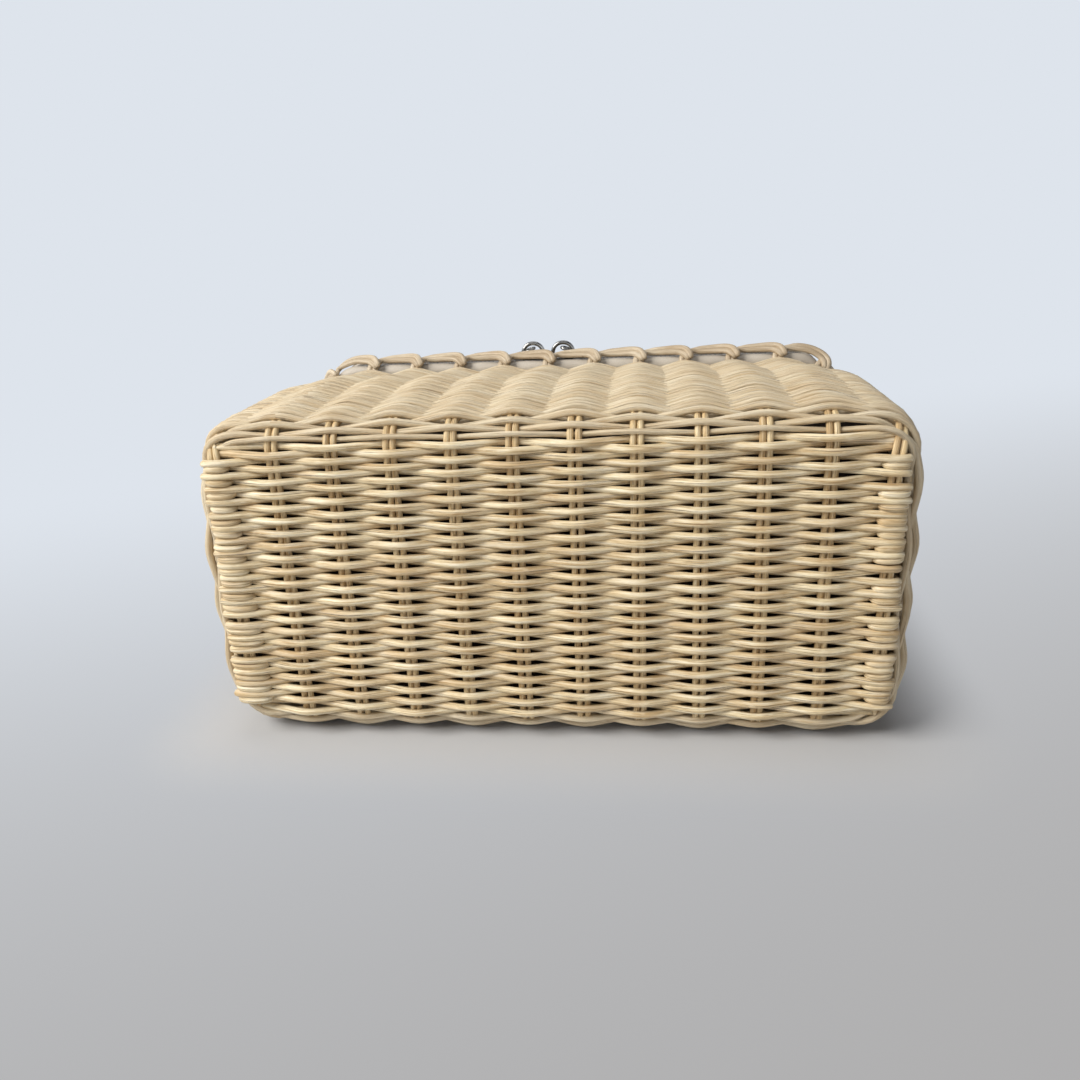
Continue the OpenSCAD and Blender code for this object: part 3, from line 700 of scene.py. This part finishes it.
zipper = {"collarIn": 3.8, "leatherT": 1.4, "zipIn": 4.9, "zipZ": 149.95, "collarZ": (142.7, 144.65),
          "bandZ": (155.25, 159.45), "endY": 33.5, "pastEnd": 2.6, "tapeT": 0.6, "toothH": 1.7, "gap": 1.4,
          "pitch": 2.1, "fold": 0.15, "lap": 0.4, "clear": 1.5, "head": 0.2, "stitch": 3.3, "sewnZ": 156.4}
wholeS = np.arange(560) * loopLen / 560
backness = smooth(onPath(wholeS)[0][:, 1] - zipper["endY"] - zipper["pastEnd"])
collarTop = zipper["collarZ"][1] + backness * (zipper["zipZ"] - zipper["fold"] - zipper["collarZ"][1])
bandLow = zipper["bandZ"][0] + backness * (zipper["zipZ"] + zipper["fold"] - zipper["bandZ"][0])
bandStrip("zip_collar_leather", wholeS, zipper["collarIn"], zipper["leatherT"], zipper["collarZ"][0],
          collarTop, 14, greige, "basket", True, slot="leather", replaces=("zip_collar",))
bandStrip("lid_band_leather", wholeS, zipper["collarIn"], zipper["leatherT"], bandLow, zipper["bandZ"][1],
          14, greige, "lid", True, slot="leather", replaces=("lid_band",))
runHalf = sideMid + zipper["endY"]
runS = np.linspace(-runHalf, runHalf, 460)
toothLow = zipper["zipZ"] - zipper["gap"] / 2 - zipper["toothH"]
toothHigh = 2 * zipper["zipZ"] - toothLow
bandStrip("lower_zip_tape", runS, zipper["zipIn"], zipper["tapeT"], zipper["collarZ"][0],
          toothLow + zipper["lap"], 10, zipCloth, "basket", False, slot="tape", replaces=("lower_tape",))
bandStrip("upper_zip_tape", runS, zipper["zipIn"], zipper["tapeT"], toothHigh - zipper["lap"],
          zipper["bandZ"][1] - 1, 10, zipCloth, "lid", False, slot="tape", replaces=("upper_tape",))


def teeth(name, low, high, shift, body, cadNode):
    # each tooth is a short squared bar up the tape, swelling to a head at the zip's middle
    s = np.arange(-runHalf + zipper["clear"] + shift, runHalf - zipper["clear"], zipper["pitch"])
    wide = np.array([[0.5, 0.62, 0.56, 0.66, 0.45]])
    thick = np.array([[0.95, 1.08, 1.05, 1.0, 0.6]])
    path = around(s[:, None], -zipper["zipIn"], low + (high - low) * np.linspace(0, 1, 5))
    return strands(name, path, levelOut(s)[:, None], wide, thick, 6, nickel, body, power=0.7,
                   slot="nickel", replaces=(cadNode,))


lowHead = zipper["zipZ"] - zipper["gap"] / 2 + zipper["head"]
highHead = zipper["zipZ"] + zipper["gap"] / 2 - zipper["head"]
teeth("lower_zip_teeth", toothLow, lowHead, 0.0, "basket", "lower_teeth")
teeth("upper_zip_teeth", toothHigh, highHead, zipper["pitch"] / 2, "lid", "upper_teeth")


def stitchRow(name, p, outs, body, long=2.5, fat=0.26):
    # each stitch is a short thread that rises from one hole and dips into the next
    outs = np.broadcast_to(outs, p.shape)
    t = np.linspace(-1, 1, 7)
    ahead = unit(np.gradient(p, axis=0))
    dip = outs[:, None] * (fat * (0.75 - 1.15 * t ** 4))[None, :, None]
    path = p[:, None] + ahead[:, None] * (t * long / 2)[None, :, None] + dip
    return strands(name, path, outs[:, None], fat * 1.15, fat, 6, thread, body, slot="leather")


bandS = np.arange(0, loopLen - zipper["stitch"] / 2, zipper["stitch"])
bandP = around(bandS, -(zipper["collarIn"] - zipper["leatherT"] / 2), zipper["sewnZ"])
stitchRow("lid_band_stitches", bandP, levelOut(bandS), "lid")
print("zip sewn")

# Lid: a panel with a stitched channel round it, piping in its edge
lid = {"inset": 4.6, "low": 159.45, "high": 161.05, "pipeR": 1.5, "channel": 8.0, "middle": 51.4,
       "sunk": 0.35, "stitch": 3.4}


def lidPanel():
    # rings shrink from the edge to the middle; height follows a shallow sewn channel near the edge
    s = np.arange(260) * loopLen / 260
    edge = around(s, -lid["inset"], lid["high"])[None, :, :2]
    step = np.array([0, 0.4, 1.2, 2.5, 4, 5.5, 6.6, 7.4, 8.0, 8.6, 9.4, 10.6, 13, 18, 26, 36, 46, 50])
    inner = edge * (1 - (step / lid["middle"])[:, None, None])
    straight = edge - onPath(s)[1][None] * step[:, None, None]
    mixIn = smooth((step - 6) / 10)[:, None, None]
    xy = straight * (1 - mixIn) + inner * mixIn
    sewn = lid["sunk"] * np.exp(-((step - lid["channel"]) / 0.9) ** 2)
    top = lid["high"] - sewn - 0.5 * np.clip(1 - step / 0.8, 0, 1) ** 2
    rings = np.concatenate([xy[::-1], xy])
    z = np.concatenate([top[::-1], np.full(len(step), lid["low"])])
    return loft(np.concatenate([rings, np.broadcast_to(z[:, None, None], (*rings.shape[:2], 1))], -1)[None])


piece("lid_panel_leather", lidPanel(), greige, "lid", slot="leather", replaces=("lid_panel",))
pipePath, pipeOut, _ = ringAt(lid["inset"], lid["low"] + lid["pipeR"], 420)
strands("lid_piping_leather", pipePath, pipeOut, lid["pipeR"], lid["pipeR"], 14, greige, "lid", closed=True,
        slot="leather", replaces=("lid_piping",))
lidS = np.arange(0, loopLen - 2, lid["stitch"])
lidP = around(lidS, -lid["inset"] - lid["channel"], lid["high"] - 0.3)
stitchRow("lid_panel_stitches", lidP, [0, 0, 1.0], "lid")

# Hinge: a flat leather strip on the back between the collar and the lid's band
hinge = {"halfX": 98.0, "low": 145.6, "high": 154.3, "face": 54.4, "thick": 0.7, "sewnX": 95.7, "stitch": 3.3,
         "sewnLow": 146.7, "sewnHigh": 153.2}


def hingeStrip():
    # flat strip whose outer face rounds off at both long edges by a root of an eighth power
    x = np.linspace(-hinge["halfX"], hinge["halfX"], 60)
    t = np.linspace(0, 1, 17)
    z = hinge["low"] + (hinge["high"] - hinge["low"]) * t
    edge = np.sqrt(np.clip(1 - np.abs(2 * t - 1) ** 8, 0.05, 1))
    outer = np.stack(np.broadcast_arrays(x[:, None], hinge["face"] + hinge["thick"] * edge, z), -1)
    inner = np.stack(np.broadcast_arrays(x[:, None], hinge["face"], z), -1)
    return loft(np.concatenate([outer, inner[:, ::-1]], 1)[None])


hingeObj = piece("back_hinge_leather", hingeStrip(), greige, None, slot="leather")
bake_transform(hingeObj)
hingeX = np.arange(-hinge["sewnX"], hinge["sewnX"] + 0.1, hinge["stitch"])
for end, body in (("Low", "basket"), ("High", "lid")):
    p = np.stack([hingeX, 0 * hingeX + hinge["face"] + hinge["thick"], 0 * hingeX + hinge["sewn" + end]], -1)
    stitchRow("hinge_stitches_" + end.lower(), p, [0, 1.0, 0], body)
print("lid made")

# Handle: a strap that rises from two riveted feet
handle = {"long": 150.0, "wide": 16.0, "thick": 3.0, "rise": 23.0, "bend": 9.0, "foot": 24.0, "angle": 40.0,
          "z": 161.05, "tip": 7.0, "stitch": 3.2, "sewnIn": 2.0}


def handleLine():
    # half the middle line: foot, a quarter-like bend up, a straight rise, a bend back to level; then mirrored
    h = handle
    a = np.radians(h["angle"])
    rm = h["bend"] + h["thick"] / 2
    run = (h["rise"] - (2 * h["bend"] + h["thick"]) * (1 - np.cos(a))) / np.sin(a)
    foot = np.stack([np.linspace(-h["foot"], -0.5, 16), np.full(16, h["thick"] / 2)], -1)
    t = np.linspace(0, a, 9)
    low = np.stack([rm * np.sin(t), h["thick"] / 2 + rm * (1 - np.cos(t))], -1)
    slope = run * np.array([np.cos(a), np.sin(a)])
    straight = low[-1] + np.linspace(0, 1, 8)[1:-1, None] * slope
    back = t[::-1]
    upper = low[-1] + slope + rm * np.stack([np.sin(a) - np.sin(back), np.cos(back) - np.cos(a)], -1)
    levelX = np.linspace(upper[-1, 0], h["long"] / 2 - h["foot"], 12)[1:]
    level = np.stack([levelX, np.full(11, upper[-1, 1])], -1)
    line = np.concatenate([foot, low, straight, upper, level])
    x = h["long"] / 2 - h["foot"] - line[:, 0]
    return np.concatenate([np.stack([x, line[:, 1]], -1), np.stack([-x, line[:, 1]], -1)[-2::-1]])


line = handleLine()
strapPath = np.stack([line[:, 0], 0 * line[:, 0], handle["z"] + line[:, 1]], -1)[None]
slope = unit(np.gradient(strapPath, axis=1))
strapOut = np.stack([-slope[..., 2], 0 * slope[..., 0], slope[..., 0]], -1)
strapOut = strapOut * np.sign(strapOut[..., 2:])
tip = np.clip((handle["long"] / 2 - np.abs(line[:, 0])) / handle["tip"], 0, 1)
strapWide = handle["wide"] / 2 * np.sqrt(np.clip(1 - (1 - tip) ** 2.2, 0.06, 1))
strands("handle_strap_leather", strapPath, strapOut, strapWide[None], handle["thick"] / 2, 20, greige, "lid",
        power=0.45, slot="leather", replaces=("handle_strap",))
gone = np.concatenate([[0], np.linalg.norm(np.diff(line, axis=0), axis=1).cumsum()])
sewn = np.arange(5, gone[-1] - 5, handle["stitch"])
sewnX, sewnZ, sewnWide, outX, outZ = (np.interp(sewn, gone, values) for values in (
    line[:, 0], line[:, 1], strapWide, strapOut[0, :, 0], strapOut[0, :, 2]))
sewnOut = unit(np.stack([outX, 0 * sewn, outZ], -1))
for s, name in ((-1, "handle_stitches_front"), (1, "handle_stitches_back")):
    p = np.stack([sewnX, s * (sewnWide - handle["sewnIn"]), handle["z"] + sewnZ], -1)
    stitchRow(name, p + sewnOut * (handle["thick"] / 2 - 0.05), sewnOut, "lid")
for nodeName in ("handle_washers", "handle_rivets"):
    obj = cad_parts[nodeName]
    obj.data.materials.clear()
    obj.data.materials.append(nickel)

# Lining: a cloth bag inside the weave, with soft upright folds; its near-black brown is partly its own
# colour, partly painted shade in the weave's slots
lining = {"inset": 7.9, "cloth": 0.5, "low": 8.4, "high": 142.0, "cut": (0.66, 0.24), "area": 0.108,
          "foot": 1.2, "ripple": 0.6, "bulge": 0.1}


def liningBag():
    # outer wall up, over the top edge and down the inner wall to the floor; folds ripple the inset all round
    s = np.arange(320) * loopLen / 320
    rise = np.linspace(0, 1, 16) ** 0.8
    height = lining["low"] + (lining["high"] - lining["low"]) * rise
    fold = wander(1, s, loopLen, (7, 11, 19, 31), 0.28)
    inset = lining["inset"] + lining["foot"] - lining["foot"] * smooth((height - lining["low"]) / 4)
    inset = inset + 0.5 * drawn(height) - lining["bulge"] * np.sin(pi * rise)
    outer = around(s[None], -inset[:, None] - lining["ripple"] * fold, height[:, None])
    inner = outer[::-1] - levelOut(s)[None] * lining["cloth"]
    inner[..., 2] = np.maximum(inner[..., 2], lining["low"] + lining["cloth"])
    sink = np.array([[0.8, 0.8, 1], [0.5, 0.5, 1], [0.2, 0.2, 1]])[:, None]
    return loft(np.concatenate([outer[:1] * sink[::-1], outer, inner, inner[-1:] * sink])[None])


liningObj = piece("lining_cloth", liningBag(), liningClothAndShade, "basket", slot="lining", replaces=("lining",))
print("handle and lining made")

# Zip sliders: two rounded plates joined by a web, a bent bridge, and a pull with an eye
metal = {"plateIn": 1.45, "plateT": 1.2, "long": 12.0, "wide": 10.0, "bridgeL": 5.9, "bridgeH": 7.2,
         "bridgeW": 1.6, "bridgeT": 0.95, "arch": 0.68, "sunk": 0.5, "pinX": -0.6, "pinOut": 6.45,
         "pull": 14.0, "lean": 18.0, "tabR": 3.0, "holeR": 1.4, "tabT": 0.62, "meetX": 11.5, "gap": 13.0}
plateTop = metal["plateIn"] + metal["plateT"]


def ownToBag(p, side):
    # a slider's own x along the zip, y out of the tape, z up; the right one is mirrored
    x = -metal["meetX"] + side * metal["gap"] / 2 - side * p[..., 0]
    return np.stack([x, -(bag["halfY"] - zipper["zipIn"]) - p[..., 1], zipper["zipZ"] + p[..., 2]], -1)


def plate(y0, y1):
    # outline by angle, wider at the mouth; rounded over its thickness by a squared oval
    a = 2 * pi * np.arange(40) / 40
    x = metal["long"] / 2 * squared(np.cos(a), 0.6)
    z = metal["wide"] / 2 * squared(np.sin(a), 0.55) * (0.86 + 0.14 * x / 6)
    t = np.linspace(-1, 1, 9)
    shrink = (1 - 0.09 * np.abs(t) ** 4)[:, None]
    y = ((y0 + y1) / 2 + (y1 - y0) / 2 * t)[:, None]
    return loft(np.stack(np.broadcast_arrays(x * shrink, y, z * shrink), -1)[None])


def bridge():
    # flat bar bent over the plate in an arch: an ellipse-like curve with upright feet
    a = np.linspace(0, pi, 25)
    x = metal["pinX"] - (metal["bridgeL"] - metal["bridgeT"]) * np.cos(a)
    high = metal["bridgeH"] + metal["sunk"] - metal["bridgeT"]
    y = plateTop - metal["sunk"] + high * np.sin(a) ** metal["arch"]
    path = np.stack([x, y, 0 * a], -1)[None]
    centre = np.array([metal["pinX"], plateTop, 0])
    wide = metal["bridgeW"] * (1 - 0.22 * np.sin(a) ** 2)
    return loft(section(path, unit(path - centre), wide[None], metal["bridgeT"], 12, power=0.7))


def web():
    # short squared bar between the plates, behind the teeth's meeting place
    x = np.linspace(1.6, 5.6, 6)
    path = np.stack([x, 0 * x, 0 * x], -1)[None]
    return loft(section(path, [0, 0, 1.0], metal["plateIn"] + 0.1, 0.4, 10, power=0.6))


def lean(p):
    # turned about the pin by the angle at which the pull lies
    a = np.radians(metal["lean"])
    x, y = p[..., 0] - metal["pinX"], p[..., 1] - metal["pinOut"]
    leanX = metal["pinX"] + x * np.cos(a) - y * np.sin(a)
    return np.stack([leanX, metal["pinOut"] + x * np.sin(a) + y * np.cos(a), p[..., 2]], -1)


def pullEye():
    # round wire: a closed loop through the bridge, straight at the pin and round at the tab
    a = 2 * pi * np.arange(40) / 40
    x = -3.1 + 3.2 * squared(np.cos(a), 0.7)
    z = 2.55 * squared(np.sin(a), 0.62)
    path = np.stack([x, 0 * a + metal["pinOut"], z], -1)[None]
    return loft(section(path, [0, 1.0, 0], 0.62, 0.68, 10, closed=True), True)


def pullTab():
    # plate with a hole: a squared oval carried round between the hole's edge and the outline
    a = 2 * pi * np.arange(48) / 48
    ca, sa = np.cos(a), np.sin(a)
    end = metal["pinX"] - metal["pull"] + metal["tabR"]
    x = np.where(ca > 0, end + (metal["pull"] - 9) * np.abs(ca) ** 0.45, end - metal["tabR"] * np.abs(ca))
    outer = np.stack([x, metal["tabR"] * squared(sa, np.where(ca > 0, 0.4, 1.0))], -1)
    inner = np.stack([end + metal["holeR"] * ca, metal["holeR"] * sa], -1)
    b = 2 * pi * np.arange(14) / 14
    across = squared(np.cos(b), 0.4)
    xz = (inner + outer)[:, None] / 2 + (outer - inner)[:, None] / 2 * across[None, :, None]
    y = metal["pinOut"] + metal["tabT"] * squared(np.sin(b), 0.5)[None] + 0 * a[:, None]
    return loft(np.stack([xz[..., 0], y, xz[..., 1]], -1)[None], True)


for side, name in ((-1, "left"), (1, "right")):
    plates = [plate(metal["plateIn"], plateTop), plate(-plateTop, -metal["plateIn"])]
    v, g, u = joined(plates + [bridge(), web()])
    piece(name + "_zip_slider", (ownToBag(v, side), g, u), nickel, name + "_slider",
          slot="nickel", replaces=(name + "_slider",))
    v, g, u = joined([pullEye(), pullTab()])
    piece(name + "_zip_pull", (ownToBag(lean(v), side), g, u), nickel, name + "_pull",
          slot="nickel", replaces=(name + "_pull",))

# Stops at the zip's ends: squared clamps on the lower row, their ends rounded by a root of a sixth power
stops = {"half": 0.95, "wide": 1.15, "thick": 1.25, "past": 1.3, "raised": 0.25}
stopParts = []
for side in (-1, 1):
    z = np.linspace(-stops["half"], stops["half"], 7)
    fat = np.sqrt(np.clip(1 - (z / 1.02) ** 6, 0.1, 1))[None]
    x = side * (bag["halfX"] - zipper["zipIn"])
    y = zipper["endY"] + stops["past"]
    path = np.stack(np.broadcast_arrays(x, y, z + toothLow + stops["raised"]), -1)[None]
    rings = section(path, [1.0, 0, 0], stops["wide"] * fat, stops["thick"] * fat, 12, power=0.55)
    stopParts.append(loft(rings))
piece("zip_end_stops", joined(stopParts), nickel, "basket", slot="nickel", replaces=("zip_stops",))
print("metal made")

# Floor: flat round the bag, swept up far away; pale, with a painted glow of light beside the bag
studio = {"flat": 1.3, "bend": 0.9, "high": 1.6, "floor": (colour(182, 182, 183), colour(190, 190, 191)),
          "sky": colour(222, 228, 236), "shade": colour(174, 173, 173), "toWindow": (-0.8, 1.67, 0.0),
          "windowRange": (-0.62, 0.68), "farRange": (0.6, 1.5), "foot": (0.12, 0.088, 0.0), "fade": 0.048,
          "room": colour(220, 224, 232), "roomLight": 0.15}


def vectorOf(m, how, output, *values):
    return node(m, "VectorMath", dict(enumerate(values)), operation=how).outputs[output]


def numberOf(m, how, a, b):
    return node(m, "Math", {0: a, 1: b}, operation=how).outputs[0]


def easedStep(m, value, low, high):
    return node(m, "MapRange", {"Value": value, "From Min": low, "From Max": high},
                interpolation_type="SMOOTHSTEP").outputs["Result"]


def floorFinish():
    # near the bag a plain pale surface; beside its footprint, only where the camera or a reflection looks, it
    # eases into a painted glow that lights itself and paints over the bag's cast shadow, painted darker away
    # from the window and lighter toward the window and far away
    m, shader = newFinish("paleFloor", 0.9)
    place = node(m, "TexCoord").outputs["Object"]
    soft = noise(m, place, 2.2, 3.0)
    wire(m, shader, ramp(m, soft, [(0.3, studio["floor"][0]), (0.7, studio["floor"][1])]))
    beside = vectorOf(m, "ABSOLUTE", "Vector", place)
    beside = vectorOf(m, "SUBTRACT", "Vector", beside, studio["foot"])
    beside = vectorOf(m, "MAXIMUM", "Vector", beside, (0, 0, 0))
    beside = vectorOf(m, "LENGTH", "Value", beside)
    ray = node(m, "LightPath").outputs
    seen = numberOf(m, "MAXIMUM", ray["Is Camera Ray"], ray["Is Glossy Ray"])
    seen = numberOf(m, "MAXIMUM", seen, ray["Is Transmission Ray"])
    part = numberOf(m, "MULTIPLY", seen, easedStep(m, beside, 0.0, studio["fade"]))
    near = vectorOf(m, "DOT_PRODUCT", "Value", place, studio["toWindow"])
    far = easedStep(m, vectorOf(m, "LENGTH", "Value", place), *studio["farRange"])
    level = numberOf(m, "MAXIMUM", easedStep(m, near, *studio["windowRange"]), far)
    tone = blendColour(m, level, studio["shade"], studio["sky"])
    # painted light: an unlit glow that stands in for the lit floor and its shade
    paintedGlow = node(m, "Emission", {"Color": tone, "Strength": 1.0}).outputs["Emission"]
    both = node(m, "MixShader", {0: part, 1: shader.outputs["BSDF"], 2: paintedGlow}).outputs["Shader"]
    m.node_tree.links.new(both, m.node_tree.nodes["Material Output"].inputs["Surface"])
    return m


def sweepFloor():
    # a profile turned round the upright: level, a quarter circle, then straight up
    a = np.linspace(0, pi / 2, 14)[1:]
    flat, bend = studio["flat"], studio["bend"]
    r = np.concatenate([[0.02, 0.3, 0.8, flat], flat + bend * np.sin(a), [flat + bend]])
    z = np.concatenate([[0, 0, 0, 0], bend * (1 - np.cos(a)), [studio["high"]]])
    t = 2 * pi * np.arange(96) / 96
    v = np.stack([r[:, None] * np.cos(t), r[:, None] * np.sin(t), z[:, None] + 0 * t], -1).reshape(-1, 3)
    ids = np.arange(len(v)).reshape(len(r), 96)
    after = np.roll(ids, -1, 1)
    quads = np.stack([ids[:-1], ids[1:], after[1:], after[:-1]], -1).reshape(-1, 4)
    mesh = bpy.data.meshes.new("studio_floor")
    mesh.from_pydata(v.tolist(), [], quads.tolist() + [ids[0].tolist()])
    mesh.polygons.foreach_set("use_smooth", np.ones(len(mesh.polygons), bool))
    obj = bpy.data.objects.new("studio_floor", mesh)
    bpy.context.scene.collection.objects.link(obj)
    mesh.materials.append(floorFinish())


sweepFloor()

# Lamps: place, size, watts and tint, all aimed at the bag's middle
lampAim = np.array([0, 0, 0.05])
lamps = {"windowKey": ((-1.15, -0.72, 1.2), 1.1, 38.5, (1.0, 0.985, 0.955)),
         "skyTop": ((-0.1, 0.35, 1.7), 1.3, 7.0, (0.97, 0.985, 1.0)),
         "frontFill": ((0.6, -1.3, 0.5), 1.0, 1.6, (0.97, 0.98, 1.0))}
for name, (place, size, watts, tint) in lamps.items():
    data = bpy.data.lights.new(name, "AREA")
    data.shape = "DISK"
    data.size = size
    data.energy = watts
    data.color = tint
    obj = bpy.data.objects.new(name, data)
    bpy.context.scene.collection.objects.link(obj)
    obj.location = place
    d = lampAim - np.array(place)
    obj.rotation_euler = (math.atan2(math.hypot(d[0], d[1]), -d[2]), 0, math.atan2(d[0], -d[1]) + math.pi)
world = bpy.data.worlds.new("room")
bpy.context.scene.world = world
world.use_nodes = True
world.node_tree.nodes["Background"].inputs["Color"].default_value = studio["room"]
world.node_tree.nodes["Background"].inputs["Strength"].default_value = studio["roomLight"]

# Camera at the photograph's place: turned by yaw, tipped down by pitch, rolled a little
shot = {"lens": 31.24, "place": (0.0334, -0.3894, 0.1896), "yaw": -6.82, "pitch": 20.3, "roll": -2.88}


def setCamera():
    yaw, pitch, roll = (math.radians(shot[k]) for k in ("yaw", "pitch", "roll"))
    fwd = np.array([math.sin(yaw) * math.cos(pitch), math.cos(yaw) * math.cos(pitch), -math.sin(pitch)])
    right = np.array([math.cos(yaw), -math.sin(yaw), 0.0])
    up = np.cross(right, fwd)
    r = math.cos(roll) * right + math.sin(roll) * up
    u = -math.sin(roll) * right + math.cos(roll) * up
    data = bpy.data.cameras.new("photoCamera")
    data.lens, data.sensor_width = shot["lens"], 36.0
    data.clip_start, data.clip_end = 0.01, 20.0
    obj = bpy.data.objects.new("photoCamera", data)
    bpy.context.scene.collection.objects.link(obj)
    m = np.eye(4)
    m[:3, 0], m[:3, 1], m[:3, 2], m[:3, 3] = r, u, -fwd, shot["place"]
    obj.matrix_world = Matrix(m.tolist())
    bpy.context.scene.camera = obj


setCamera()
bpy.context.scene.view_settings.view_transform = "Standard"
print("scene ready")
